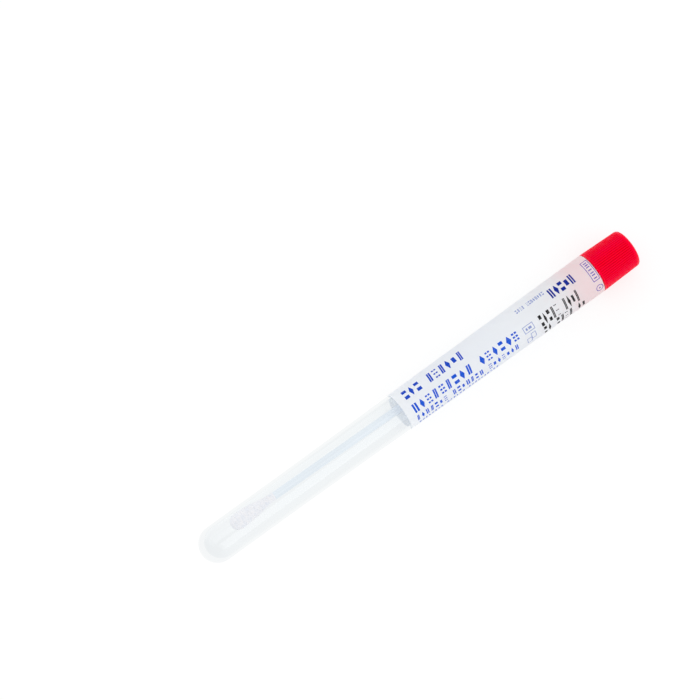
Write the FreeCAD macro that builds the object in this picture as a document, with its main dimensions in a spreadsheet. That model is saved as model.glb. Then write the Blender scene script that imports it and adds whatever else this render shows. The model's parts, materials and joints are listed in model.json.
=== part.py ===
import FreeCAD, Part
import Sketcher
import math
import os

# A transport swab in its tube, lying on its side as it comes to rest.
#
# Five pieces: a clear round-bottomed tube, a printed film label wrapped round its open half, a ribbed
# cap whose hollow plug seals the mouth, and a swab (a moulded shaft with a wound bud) that is held in a
# socket inside the cap and hangs down the tube.
#
# Every piece is drawn about the tube's own axis, X, with the round tip at X = 0 and the cap at the far
# end. REST then lays all of them down together: the round tip and the widest part of the cap's rim
# touch the ground, and the axis climbs very slightly towards the cap, because the tube tapers. The
# swab leans towards +Y, so the tube would roll that way: it lies with the edge of the label's overlap
# just beside its lowest line, on that side, and the edge holds it.

# Driving sizes: millimetres, degrees and counts
SIZES = {
    # tube
    "tube_length": 150.0,  # round tip to rim
    "land_diameter": 11.75,  # parallel stretch that a rack holds
    "land_end": 32.0,  # where the parallel stretch ends
    "tube_draft": 0.333,  # degrees by which the tube's side opens above its parallel stretch
    "tube_seam": 4.1,  # degrees between the tube's lowest line and the start of its turned faces
    "tube_wall": 0.9,
    "tip_wall": 1.7,  # thicker at the round tip
    "gate_radius": 0.8,  # flat left where the sprue was trimmed off the tip
    "witness_place": 65.8,  # line where the mould's lower and upper halves meet
    "witness_step": 0.04,  # the upper half stands this much prouder
    "witness_run": 0.3,
    "lip_chamfer": 0.2,
    "seat_margin": 1.5,  # parallel bore left past the end of the cap's plug
    # label
    "label_gap": 9.0,  # from the witness line to the label
    "label_setback": 0.4,  # bare tube left below the cap
    "label_film": 0.12,
    "label_overlap": 26.0,  # degrees of film that lie on the film's own start
    "label_seam": 12.0,  # degrees round the tube from its lowest line to the overlap's edge, towards +Y
    # cap
    "head_length": 14.2,
    "head_overhang": 0.15,  # how far the head stands out past the tube's mouth
    "head_draft": 1.53,  # degrees by which the head's side closes towards its end
    "head_end_round": 1.0,
    "rib_count": 58,
    "groove_depth": 0.22,
    "groove_width": 0.46,
    "rim_band": 0.3,  # plain ring between the rim and the ribs
    "cap_seam": 2.25,  # degrees between the cap's lowest line and the start of its turned faces
    "end_band": 0.2,  # plain ring between the ribs and the rounded end
    "dimple_radius": 1.6,  # gate dimple in the flat end
    "dimple_depth": 0.3,
    "plug_length": 11.0,
    "plug_clearance": 0.04,  # between the sealing ridges and the bore
    "plug_relief": 0.2,  # how far the plug lies behind its sealing ridges
    "plug_wall": 1.1,
    "plug_lead": 0.8,  # chamfer that guides the plug into the bore
    "ridge_width": 1.4,
    "ridge_gap": 2.6,  # plug between the two sealing ridges
    "cavity_floor": 2.4,  # solid end of the head
    "socket_wall": 1.1,
    "socket_setback": 1.2,  # how far the socket stays behind the plug's end
    # swab, as long as the tube and its cap leave room for
    "swab_seat": 1.9,  # solid end of the head behind the shaft
    "bud_gap": 12.3,  # round tip of the tube to the nose of the bud
    "bud_clearance": 0.38,  # between the bud and the side of the bore that it leans towards
    "shaft_diameter": 2.5,
    "shaft_chamfer": 0.4,
    "notch_place": 80.0,  # nose of the bud to the break notch
    "notch_depth": 0.45,
    "notch_width": 1.0,
    "bud_length": 15.9,
    "bud_diameter": 5.4,
    "bud_belly": 2.6,  # parallel stretch behind the round nose
    "bud_waist": 9.8,  # nose of the bud to where its taper turns into the flare
    "bud_waist_diameter": 4.12,
    "bud_cuff": 0.1,  # fibre left on the shaft where the bud ends
    "bud_nose_fibre": 1.8,  # fibre between the shaft's end and the bud's nose
}


def drafted(radius, start, place, draft):
    """Radius at a place on a side that opens by a draft angle, from its radius at the start."""
    return f"({radius} + ({place} - {start}) * tan({draft}))"


# Radii and places that more than one piece uses, as sheet expressions
ON_AXIS = "0"
RIM = "Sizes.tube_length"
HEAD_END = f"({RIM} + Sizes.head_length)"
PLUG_END = f"({RIM} - Sizes.plug_length)"
STEP_END = "(Sizes.witness_place + Sizes.witness_run)"
LABEL_START = "(Sizes.witness_place + Sizes.label_gap)"
LAND = "Sizes.land_diameter / 2"
WITNESS = drafted(LAND, "Sizes.land_end", "Sizes.witness_place", "Sizes.tube_draft")
STEPPED = f"({WITNESS} + Sizes.witness_step)"
MOUTH = drafted(STEPPED, STEP_END, RIM, "Sizes.tube_draft")
BORE = f"({LAND} - Sizes.tube_wall)"
BORE_SEAT = f"({MOUTH} - Sizes.tube_wall)"
HEAD = f"({MOUTH} + Sizes.head_overhang)"
SHAFT = "Sizes.shaft_diameter / 2"
SEAT = f"({HEAD_END} - Sizes.swab_seat)"
BUD = "Sizes.bud_diameter / 2"
NOSE = "Sizes.bud_gap"

# How an edge runs as an outline is followed: round to the left, round to the right, or as a slender
# taper, which is a straight spline, because its turned face then needs few facets
LEFT = 1
RIGHT = -1
TAPER = 0

# Share by which the volume of the cut grooves may differ from what their size says
GROOVE_SLACK = 0.1


def upper_outside(place):
    """Outside radius of the tube at a place between the witness line and the rim."""
    return drafted(STEPPED, STEP_END, place, "Sizes.tube_draft")


def head_side(place):
    """Radius over the ribs of the cap's head at a place along it."""
    return drafted(HEAD, RIM, place, "-Sizes.head_draft")


def rest_placement():
    """Lays the tube's axis down: round tip and cap rim on the ground, centred on the origin."""
    reach = f"({RIM} - {LAND})"
    drop = f"({HEAD})"
    slant = f"sqrt({reach} ^ 2 + {drop} ^ 2)"
    climb = f"(atan2({drop}; {reach}) - asin({LAND} / {slant}))"
    back = f"-(({HEAD_END}) * cos({climb}) + {LAND} * (1 - cos({climb}))) / 2"
    lift = f"{LAND} * (1 - sin({climb}))"
    return f"placement(vector({back}; 0; {lift}); rotation(vector(0; 1; 0); -{climb}))"


def about_axis(angle):
    """Turns a piece about its own axis."""
    return f"placement(vector(0; 0; 0); rotation(vector(1; 0; 0); {angle}))"


def seam_placement(seam):
    """Puts the start of a piece's turned faces this far round from its lowest line."""
    return about_axis(f"{seam} - 90")


def lean_placement():
    """Turns a swab piece about the middle of its socket, towards +Y at the bud."""
    pivot = f"({PLUG_END} + {SEAT}) / 2"
    arm = f"({pivot} - ({NOSE} + {BUD}))"
    lean = f"asin(({BORE} - {BUD} - Sizes.bud_clearance) / {arm})"
    there = f"placement(vector({pivot}; 0; 0); rotation(vector(0; 0; 1); -{lean}))"
    return f"{there} * placement(vector(-{pivot}; 0; 0); rotation(vector(0; 0; 1); 0))"


REST = rest_placement()
LEAN = lean_placement()

document = FreeCAD.newDocument("SwabTube")


def add_sheet():
    """Writes the driving sizes to a spreadsheet, one alias a row."""
    sheet = document.addObject("Spreadsheet::Sheet", "Sizes")
    for row, (alias, size) in enumerate(SIZES.items(), start=1):
        sheet.set(f"A{row}", alias)
        sheet.set(f"B{row}", str(size))
        sheet.setAlias(f"B{row}", alias)
    document.recompute()


def new_body(label, placement):
    """An empty body that carries the sub-part's name and lies where the sheet puts it."""
    body = document.addObject("PartDesign::Body", label)
    body.Label = label
    body.setExpression("Placement", placement)
    return body


def new_sketch(body, name, role="XY_Plane"):
    """A sketch on one of the body's own origin planes."""
    plane = next(item for item in body.Origin.OriginFeatures if item.Role == role)
    sketch = body.newObject("Sketcher::SketchObject", name)
    sketch.AttachmentSupport = (plane, [""])
    sketch.MapMode = "FlatFace"
    return sketch


def pin_point(sketch, point, axis_name, axis, expression):
    """Holds one coordinate of a point: on its axis, or at an expression's distance from it."""
    if expression == ON_AXIS:
        sketch.addConstraint(Sketcher.Constraint("PointOnObject", point, 1, axis))
        return
    index = sketch.addConstraint(Sketcher.Constraint(axis_name, -1, 1, point, 1, 1.0))
    sketch.setExpression(f"Constraints[{index}]", expression)


def place_corners(sketch, corners):
    """Puts a construction point at every corner and lets the sheet move it there."""
    points = []
    for across, up in corners:
        point = sketch.addGeometry(Part.Point(FreeCAD.Vector(1, 1, 0)), True)
        pin_point(sketch, point, "DistanceX", -2, across)
        pin_point(sketch, point, "DistanceY", -1, up)
        points.append(point)
    document.recompute()
    return points


def point_at(sketch, point):
    """Where a construction point lies now."""
    place = sketch.Geometry[point]
    return FreeCAD.Vector(place.X, place.Y, 0)


def add_line(sketch, start, end):
    """A straight edge from one corner to the next."""
    line = sketch.addGeometry(Part.LineSegment(point_at(sketch, start), point_at(sketch, end)), False)
    sketch.addConstraint(Sketcher.Constraint("Coincident", line, 1, start, 1))
    sketch.addConstraint(Sketcher.Constraint("Coincident", line, 2, end, 1))


def add_arc(sketch, start, end, radius, turn):
    """A round edge from one corner to the next that turns left (LEFT) or right (RIGHT)."""
    first = start if turn == LEFT else end
    last = end if turn == LEFT else start
    chord = point_at(sketch, last) - point_at(sketch, first)
    centre = point_at(sketch, first) + chord * 0.5 + FreeCAD.Vector(-chord.y, chord.x, 0)
    begin = point_at(sketch, first) - centre
    finish = point_at(sketch, last) - centre
    circle = Part.Circle(centre, FreeCAD.Vector(0, 0, 1), begin.Length)
    sweep = (math.atan2(begin.y, begin.x), math.atan2(finish.y, finish.x))
    arc = sketch.addGeometry(Part.ArcOfCircle(circle, *sweep), False)
    sketch.addConstraint(Sketcher.Constraint("Coincident", arc, 1, first, 1))
    sketch.addConstraint(Sketcher.Constraint("Coincident", arc, 2, last, 1))
    index = sketch.addConstraint(Sketcher.Constraint("Radius", arc, begin.Length))
    sketch.setExpression(f"Constraints[{index}]", radius)


def add_taper(sketch, start, end):
    """A slender taper: a spline that runs straight from one corner to the next."""
    ends = [point_at(sketch, start), point_at(sketch, end)]
    spline = Part.BSplineCurve()
    spline.buildFromPoles(ends, False, 1)
    taper = sketch.addGeometry(spline, False)
    sketch.addConstraint(Sketcher.Constraint("Coincident", taper, 1, start, 1))
    sketch.addConstraint(Sketcher.Constraint("Coincident", taper, 2, end, 1))


def outline(body, name, corners, runs=None):
    """A closed sketch through corners given as pairs of expressions.

    runs maps the number of a corner to how the edge that leaves it runs, TAPER or a pair of radius and
    turn; every other edge is a line.
    """
    sketch = new_sketch(body, name)
    points = place_corners(sketch, corners)
    for number, start in enumerate(points):
        end = points[(number + 1) % len(points)]
        run = (runs or {}).get(number)
        if run is None:
            add_line(sketch, start, end)
        elif run == TAPER:
            add_taper(sketch, start, end)
        else:
            add_arc(sketch, start, end, *run)
    document.recompute()
    return sketch


def revolve(body, name, sketch, angle="360"):
    """Turns a sketch about the tube's axis."""
    feature = body.newObject("PartDesign::Revolution", name)
    feature.Profile = sketch
    feature.ReferenceAxis = (sketch, ["H_Axis"])
    feature.setExpression("Angle", angle)
    body.Tip = feature
    document.recompute()
    return feature


def make_tube():
    """Clear tube: round tip, parallel stretch, two drafted stretches with a witness line between them."""
    body = new_body("tube", f"{REST} * {seam_placement('Sizes.tube_seam')}")
    flat = f"({LAND} - sqrt(({LAND}) ^ 2 - Sizes.gate_radius ^ 2))"
    chamfer = f"({RIM} - Sizes.lip_chamfer)"
    corners = [
        (flat, ON_AXIS),
        (flat, "Sizes.gate_radius"),
        (LAND, LAND),
        ("Sizes.land_end", LAND),
        ("Sizes.witness_place", WITNESS),
        (STEP_END, STEPPED),
        (chamfer, upper_outside(chamfer)),
        (RIM, f"{MOUTH} - Sizes.lip_chamfer"),
        (RIM, BORE_SEAT),
        (f"{PLUG_END} - Sizes.seat_margin", BORE_SEAT),
        ("Sizes.land_end", BORE),
        (f"Sizes.tip_wall + {BORE}", BORE),
        ("Sizes.tip_wall", ON_AXIS),
    ]
    runs = {
        1: (LAND, RIGHT),
        3: TAPER,
        5: TAPER,
        9: TAPER,
        11: (BORE, LEFT),
    }
    revolve(body, "TubeTurned", outline(body, "TubeWall", corners, runs))
    return body


def make_label():
    """Film label: one turn round the tube, with its far end stuck down over its own start."""
    body = new_body("label", f"{REST} * {seam_placement('Sizes.label_seam')}")
    start = LABEL_START
    end = f"({RIM} - Sizes.label_setback)"
    film = "Sizes.label_film"
    layers = (
        ("Wrap", 0, "360"),
        ("Overlap", 1, "Sizes.label_overlap"),
    )
    for name, films_below, angle in layers:
        below = f"{films_below} * {film}"
        corners = [
            (start, f"{upper_outside(start)} + {below}"),
            (end, f"{upper_outside(end)} + {below}"),
            (end, f"{upper_outside(end)} + {below} + {film}"),
            (start, f"{upper_outside(start)} + {below} + {film}"),
        ]
        section = outline(body, f"Film{name}", corners, {0: TAPER, 2: TAPER})
        revolve(body, f"Label{name}", section, angle)
    return body


def cap_corners():
    """Half section of the cap, from the closed end round the outside, down the plug and up the cavity."""
    ridge = f"({BORE_SEAT} - Sizes.plug_clearance)"
    relief = f"({ridge} - Sizes.plug_relief)"
    upper_end = f"({RIM} - Sizes.ridge_gap)"
    upper_start = f"({upper_end} - Sizes.ridge_width)"
    lower_end = f"({upper_start} - Sizes.ridge_gap)"
    lower_start = f"({lower_end} - Sizes.ridge_width)"
    cavity = f"({relief} - Sizes.plug_wall)"
    socket = f"({SHAFT} + Sizes.socket_wall)"
    floor = f"({HEAD_END} - Sizes.cavity_floor)"
    round_start = f"({HEAD_END} - Sizes.head_end_round)"
    socket_end = f"({PLUG_END} + Sizes.socket_setback)"
    return [
        (f"{HEAD_END} - Sizes.dimple_depth", ON_AXIS),
        (HEAD_END, "Sizes.dimple_radius"),
        (HEAD_END, f"{head_side(HEAD_END)} - Sizes.head_end_round"),
        (round_start, head_side(round_start)),
        (RIM, HEAD),
        (RIM, relief),
        (f"{upper_end} + Sizes.plug_relief", relief),
        (upper_end, ridge),
        (upper_start, ridge),
        (f"{upper_start} - Sizes.plug_relief", relief),
        (f"{lower_end} + Sizes.plug_relief", relief),
        (lower_end, ridge),
        (lower_start, ridge),
        (f"{lower_start} - Sizes.plug_relief", relief),
        (f"{PLUG_END} + Sizes.plug_lead", relief),
        (PLUG_END, f"{cavity} + Sizes.plug_wall / 2"),
        (PLUG_END, cavity),
        (floor, cavity),
        (floor, socket),
        (socket_end, socket),
        (socket_end, ON_AXIS),
    ]


def cut_grooves(body):
    """The grooves between the cap's grip ribs, each one along the drafted side of the head."""
    side = new_sketch(body, "HeadSide")
    add_line(side, *place_corners(side, [(HEAD_END, head_side(HEAD_END)), (RIM, HEAD)]))
    shape = new_sketch(body, "GrooveShape", "YZ_Plane")
    start = f"({RIM} + Sizes.rim_band)"
    shape.setExpression("AttachmentOffset.Base.z", start)
    surface = head_side(start)
    # the V is drawn twice as large as the groove, so that its open side stands clear of the head
    corners = [
        (f"{surface} - Sizes.groove_depth", ON_AXIS),
        (f"{surface} + Sizes.groove_depth", "Sizes.groove_width"),
        (f"{surface} + Sizes.groove_depth", "-Sizes.groove_width"),
    ]
    points = place_corners(shape, corners)
    for number, point in enumerate(points):
        add_line(shape, point, points[(number + 1) % len(points)])
    groove = body.newObject("PartDesign::Pocket", "GripGroove")
    groove.Profile = shape
    groove.ReferenceAxis = (side, ["Edge1"])
    groove.AlongSketchNormal = True
    groove.setExpression(
        "Length", "Sizes.head_length - Sizes.rim_band - Sizes.end_band - Sizes.head_end_round"
    )
    body.Tip = groove
    document.recompute()
    pattern = body.newObject("PartDesign::PolarPattern", "GripGrooves")
    pattern.Originals = [groove]
    pattern.Axis = (shape, ["N_Axis"])
    pattern.Angle = 360
    pattern.setExpression("Occurrences", "Sizes.rib_count")
    body.Tip = pattern
    document.recompute()


def make_cap():
    """Cap: ribbed head, hollow plug with two sealing ridges, and the swab's socket, in one moulding."""
    body = new_body("cap", f"{REST} * {seam_placement('Sizes.cap_seam')}")
    runs = {
        2: ("Sizes.head_end_round", RIGHT),
        3: TAPER,
    }
    revolve(body, "CapTurned", outline(body, "CapSection", cap_corners(), runs))
    cut_grooves(body)
    bore = body.newObject("PartDesign::SubtractiveCylinder", "SocketBore")
    bore.setExpression("Radius", SHAFT)
    bore.setExpression("Height", f"{SEAT} - {PLUG_END}")
    # the socket leans with the swab, whichever way the cap is turned about its axis
    turned_back = about_axis("90 - Sizes.cap_seam")
    along = f"placement(vector({PLUG_END}; 0; 0); rotation(vector(0; 1; 0); 90))"
    bore.setExpression("Placement", f"{turned_back} * {LEAN} * {along}")
    body.Tip = bore
    document.recompute()
    return body


def make_swab_shaft():
    """Moulded shaft: chamfered under the bud, seated square, with a V notch where it is snapped off."""
    body = new_body("swab_shaft", f"{REST} * {LEAN}")
    start = f"({NOSE} + Sizes.bud_nose_fibre)"
    notch = f"({NOSE} + Sizes.notch_place)"
    corners = [
        (start, ON_AXIS),
        (start, f"{SHAFT} - Sizes.shaft_chamfer"),
        (f"{start} + Sizes.shaft_chamfer", SHAFT),
        (f"{notch} - Sizes.notch_width / 2", SHAFT),
        (notch, f"{SHAFT} - Sizes.notch_depth"),
        (f"{notch} + Sizes.notch_width / 2", SHAFT),
        (SEAT, SHAFT),
        (SEAT, ON_AXIS),
    ]
    revolve(body, "ShaftTurned", outline(body, "ShaftSection", corners))
    return body


def make_swab_bud():
    """Wound fibre bud: round nose, parallel belly, a taper, and a flare that runs out on the shaft."""
    body = new_body("swab_bud", f"{REST} * {LEAN}")
    shoulder = f"({NOSE} + {BUD})"
    waist = f"({NOSE} + Sizes.bud_waist)"
    waist_radius = "Sizes.bud_waist_diameter / 2"
    tail = f"({NOSE} + Sizes.bud_length)"
    cuff = f"({SHAFT} + Sizes.bud_cuff)"
    buried = f"({NOSE} + Sizes.bud_nose_fibre)"
    # the flare ends in line with the shaft
    run = f"({tail} - {waist})"
    fall = f"({waist_radius} - {cuff})"
    flare = f"({run} ^ 2 + {fall} ^ 2) / (2 * {fall})"
    corners = [
        (NOSE, ON_AXIS),
        (shoulder, BUD),
        (f"{shoulder} + Sizes.bud_belly", BUD),
        (waist, waist_radius),
        (tail, cuff),
        (tail, SHAFT),
        (f"{buried} + Sizes.shaft_chamfer", SHAFT),
        (buried, f"{SHAFT} - Sizes.shaft_chamfer"),
        (buried, ON_AXIS),
    ]
    runs = {
        0: (BUD, RIGHT),
        2: TAPER,
        3: (flare, LEFT),
    }
    revolve(body, "BudTurned", outline(body, "BudSection", corners, runs))
    return body


def check_document():
    """Stops if any object of the document failed to build."""
    for item in document.Objects:
        faults = {"Invalid", "Error"} & set(item.State)
        if faults:
            raise RuntimeError(f"{item.Label} did not build: {faults}")


def check_shape(part):
    """Stops unless the sub-part is one valid solid."""
    shape = part.Shape
    if shape.isNull() or not shape.isValid() or len(shape.Solids) != 1:
        raise RuntimeError(f"{part.Label} is not one valid solid")


def check_cap(cap):
    """Stops unless the grooves and the socket took from the cap about what their size says."""
    sizes = document.getObject("Sizes")
    run = sizes.head_length - sizes.rim_band - sizes.end_band - sizes.head_end_round
    wanted = sizes.rib_count * run * sizes.groove_width * sizes.groove_depth / 2
    turned = document.getObject("CapTurned").Shape.Volume
    grooved = document.getObject("GripGrooves").Shape.Volume
    if abs((turned - grooved) / wanted - 1) > GROOVE_SLACK:
        raise RuntimeError(f"the grooves took {turned - grooved:.2f} mm3 and not {wanted:.2f} mm3")
    if not cap.Shape.Volume < grooved:
        raise RuntimeError("the swab's socket cut nothing")


add_sheet()
parts = [make_tube(), make_label(), make_cap(), make_swab_shaft(), make_swab_bud()]
document.recompute()
check_document()
check_cap(document.getObject("cap"))
os.makedirs("parts", exist_ok=True)
for part in parts:
    check_shape(part)
for part in parts:
    part.Shape.exportStep(f"parts/{part.Label}.step")
    box = part.Shape.optimalBoundingBox(False)
    size = f"{box.XLength:.2f} x {box.YLength:.2f} x {box.ZLength:.2f} mm"
    print(f"{part.Label}: {part.Shape.Volume:.1f} mm3, {size}")
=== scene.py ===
"""Looks of the transport swab in its tube: clear tube, printed film label, ribbed cap and fibre swab.

Every piece is made about the tube's own axis, X, in millimetres from the tube's round tip, and is then
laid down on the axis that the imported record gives.
"""
import json
import math
import random

import bpy
import bmesh
import numpy as np
from mathutils import Matrix, Vector


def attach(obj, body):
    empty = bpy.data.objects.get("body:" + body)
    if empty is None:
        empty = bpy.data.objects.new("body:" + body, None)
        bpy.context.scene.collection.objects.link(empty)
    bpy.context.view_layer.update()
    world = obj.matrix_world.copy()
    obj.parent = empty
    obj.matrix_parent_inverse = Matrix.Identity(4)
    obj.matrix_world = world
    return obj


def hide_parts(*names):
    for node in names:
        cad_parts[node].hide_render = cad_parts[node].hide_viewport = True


MM = 0.001
SEED = 41

# Tube, in millimetres and degrees
TUBE_LENGTH = 150.0
LAND_RADIUS = 5.875
LAND_END = 32.0
TUBE_DRAFT = 0.333
WALL = 0.9
TIP_WALL = 1.7
GATE_RADIUS = 0.8
WITNESS_PLACE = 65.8
WITNESS_STEP = 0.04
WITNESS_RUN = 0.3
LIP_CHAMFER = 0.2
SEAT_MARGIN = 1.5

# Label
LABEL_GAP = 9.0  # from the witness line
LABEL_SETBACK = 0.4  # from the mouth
FILM = 0.12
FILM_LIFT = 0.005  # from the tube's face to the film's inner face, so that the two do not flicker
LABEL_SEAM = 12.0  # degrees from the lowest line to the overlap's edge, towards +Y
LABEL_OVERLAP = 26.0
OVERLAP_RAMP = 5.0  # degrees over which the film climbs onto its own start
FILM_TURN_STEP = 1.5  # degrees between the film's points round the tube
FILM_PLACES = 61  # rows of points along it

# Cap
HEAD_LENGTH = 14.2
HEAD_OVERHANG = 0.15
HEAD_DRAFT = 1.53
HEAD_ROUND = 1.0
RIM_BAND = 0.3
END_BAND = 0.2
RIB_COUNT = 58
GROOVE_DEPTH = 0.22
GROOVE_WIDTH = 0.46
GROOVE_FADE = 0.35  # run over which a groove reaches its depth
GROOVE_FADE_RINGS = 5
GROOVE_RINGS = 9  # along the grooves' full depth
GROOVE_RING_MARGIN = 1.0  # from the grooves' ends to the first and last of those
DIMPLE_RADIUS = 1.6
DIMPLE_DEPTH = 0.3
PLUG_LENGTH = 11.0
PLUG_CLEARANCE = 0.04
PLUG_RELIEF = 0.2
PLUG_WALL = 1.1
PLUG_LEAD = 0.8
RIDGE_WIDTH = 1.4
RIDGE_GAP = 2.6
CAVITY_FLOOR = 2.4
SOCKET_WALL = 1.1
SOCKET_SETBACK = 1.2
DIMPLE_ROUND = 0.4
SOFT_ROUND = 0.3
EDGE_ROUND = 0.15
CRISP_ROUND = 0.12
CAVITY_ROUND = 0.5
SOCKET_ROUND = 0.4

# Swab
SWAB_SEAT = 1.9
BUD_GAP = 12.3  # from the tube's round tip
BUD_CLEARANCE = 0.38  # from the side of the bore that the swab leans towards
SHAFT_RADIUS = 1.25
SHAFT_CHAMFER = 0.4
PARTING_LINE = 0.02  # how far the mould's parting line stands proud of the shaft
PARTING_WIDTH = 4.0  # degrees
PARTING_MARGIN = 1.0  # from the shaft's hidden end to the start of the line
NOTCH_PLACE = 80.0
NOTCH_DEPTH = 0.45
NOTCH_WIDTH = 1.0
NOTCH_EDGE_ROUND = 0.1
SHAFT_RING_GAP = 6.0  # most that the shaft's rings of points lie apart
BUD_LENGTH = 15.9
BUD_RADIUS = 2.7
BUD_BELLY = 2.6
BUD_WAIST = 9.8
BUD_WAIST_RADIUS = 2.06
BUD_CUFF = 0.1
BUD_NOSE_FIBRE = 1.8
BUD_SLEEVE = 1.0  # how far the bud's mesh closes round the shaft inside its tail
BUD_SLEEVE_GAP = 0.03
BUD_FINE_RUN = 0.6  # run of the round nose over which the rings of points lie closer
BUD_FINE_RINGS = 9
BUD_RINGS = 170
WINDING_PITCH = 0.62
WINDING_DEPTH = 0.09
WINDING_LUMP = 0.03
BUD_SKIN = 0.08  # the windings lie this far inside the bud's outline
WINDING_FADES = (1.5, 1.2)  # runs over which the windings fade out, at the bud's nose and its tail
FIBRE_COUNT = 420
FIBRE_RADIUS = 0.016
FIBRE_STEPS = 14
FIBRE_STARTS = (0.5, BUD_LENGTH - 0.6)  # between these places a fibre starts
FIBRE_REACH = (0.3, BUD_LENGTH - 0.2)  # and between these it stays
FIBRE_TURNS = (0.5, 1.5)  # least and most that it goes round the bud, in radians
FIBRE_DRIFT = 0.5  # how far it usually runs along the bud
FIBRE_LIFT = 0.07  # most that it lifts off the bud

# Sides of the turned pieces' meshes
TUBE_SIDES = 192
TIP_STEPS = 24  # from the tube's side to its tip
SWAB_SIDES = 96
RIB_SIDES = 12  # for each rib of the cap

NEAR = 0.01  # two places or radii closer than this are the same
TRIM = 0.005  # the outermost faces lie this far inside the part's outline, as its own facets do


def drafted(radius, run, draft):
    """Radius after a run along a side that opens by a draft angle."""
    return radius + run * math.tan(math.radians(draft))


# Places and radii that follow from them
STEP_END = WITNESS_PLACE + WITNESS_RUN
WITNESS_RADIUS = drafted(LAND_RADIUS, WITNESS_PLACE - LAND_END, TUBE_DRAFT)
STEPPED_RADIUS = WITNESS_RADIUS + WITNESS_STEP
MOUTH_RADIUS = drafted(STEPPED_RADIUS, TUBE_LENGTH - STEP_END, TUBE_DRAFT)
BORE = LAND_RADIUS - WALL
BORE_SEAT = MOUTH_RADIUS - WALL
LABEL_START = WITNESS_PLACE + LABEL_GAP
LABEL_END = TUBE_LENGTH - LABEL_SETBACK
HEAD_END = TUBE_LENGTH + HEAD_LENGTH
HEAD_RADIUS = MOUTH_RADIUS + HEAD_OVERHANG
HEAD_END_RADIUS = drafted(HEAD_RADIUS, HEAD_LENGTH, -HEAD_DRAFT)
PLUG_END = TUBE_LENGTH - PLUG_LENGTH
SEAT = HEAD_END - SWAB_SEAT
SWAB_PIVOT = (PLUG_END + SEAT) / 2
SWAB_ARM = SWAB_PIVOT - (BUD_GAP + BUD_RADIUS)
SWAB_LEAN = math.asin((BORE - BUD_RADIUS - BUD_CLEARANCE) / SWAB_ARM)

# Camera, at the photograph's viewing angle
CAMERA_AZIMUTH = -36.877  # degrees
CAMERA_ELEVATION = 71.614
CAMERA_DISTANCE = 0.87697
CAMERA_TARGET = (-0.00617, 0.026814, 0.0)
CAMERA_LENS = 145.18
CAMERA_SENSOR = 36.0

# Linear colours
CLEAR = (0.932, 0.946, 0.952)
WALL_CLEAR = (0.998, 0.999, 0.999)  # for light that is scattered or casts a shadow
EDGE_CLEAR = (0.935, 0.945, 0.950)  # for light reflected inside the wall
TIP_CLEAR = (0.90, 0.915, 0.925)
TIP_TINT_RUN = 14.0  # the tip's deeper tint fades out over this run
FILM_WHITE = (0.960, 0.978, 1.0)
CAP_RED = (0.98, 0.0, 0.012)
# painted shade: the red darkened towards the grooves' bottoms
GROOVE_SHADE_RED = (0.72, 0.0, 0.003)
SHAFT_WHITE = (0.825, 0.885, 0.945)
FIBRE_WHITE = (0.96, 0.945, 0.965)
FIBRE_COOL = (0.86, 0.88, 0.94)
DEEP_BLUE = (0.0, 0.055, 0.52)
BRIGHT_BLUE = (0.0, 0.085, 0.64)
PALE_BLUE = (0.25, 0.31, 0.60)
NAVY = (0.0, 0.015, 0.27)
VIOLET = (0.15, 0.10, 0.46)
INK_BLACK = (0.006, 0.005, 0.007)
GLOSS_TINT = (1.0, 0.0, 1.0)  # the cap's gloss and sheen lean to crimson
SHEEN_TINT = (1.0, 0.0, 0.8)

# How often each material's pattern repeats in a metre, along the piece and across it
TUBE_FLOW = (25, 420, 420)
FILM_CLOUD = (90, 260, 260)
FILM_GRAIN = (2500, 2500, 2500)
INK_SPOTS = (1800, 1800, 1800)
CAP_CLOUD = (220, 220, 220)
CAP_SKIN = (1400, 1400, 1400)
SHAFT_FLOW = (40, 700, 700)
FIBRE_WINDINGS = (5200, 500, 500)
FIBRE_TUFTS = (1400, 800, 800)

# Lowest and highest roughness of each surface that varies
TUBE_ROUGH = (0.0, 0.03)
FILM_ROUGH = (0.38, 0.52)
CAP_ROUGH = (0.3, 0.42)
SHAFT_ROUGH = (0.22, 0.36)

# Shares of light that cross the film
FILM_GLOW = 0.3  # scattered on its way through
FILM_CLEAR = 0.06  # straight through
GLUE_CLEAR = 0.95  # straight through the glue side, whose white lies in the printed side


def axis_frame(frame):
    """Matrix that lays a piece made along X from the round tip onto the tube's axis."""
    record = frame["record"]
    land = next(mount for mount in record["mounts"] if mount["name"] == "rack_land")
    along = Vector(frame["joints"][0]["axis"]).normalized()
    tip_to_land = (land["dims"]["r_mm"] + land["dims"]["length_mm"] / 2) * MM
    tip = Vector(land["pos_m"]) - along * tip_to_land
    side = Vector((0, 1, 0))
    up = along.cross(side)
    turn = Matrix((along, side, up)).transposed().to_4x4()
    return Matrix.Translation(tip) @ turn


def lean_matrix():
    """Turns a swab piece about the middle of its socket, towards +Y at the bud."""
    pivot = Vector((SWAB_PIVOT * MM, 0, 0))
    turn = Matrix.Rotation(-SWAB_LEAN, 4, "Z")
    return Matrix.Translation(pivot) @ turn @ Matrix.Translation(-pivot)


# ---------------------------------------------------------------- outlines


def eased(share):
    """A share held between 0 and 1, that starts and ends softly."""
    share = min(1.0, max(0.0, share))
    return share * share * (3 - 2 * share)


def arc(centre, radius, start, end, steps):
    """Points of an arc in the (x, r) plane, angles in degrees."""
    angles = np.radians(np.linspace(start, end, steps + 1))
    return [(centre[0] + radius * math.cos(a), centre[1] + radius * math.sin(a)) for a in angles]


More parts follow.
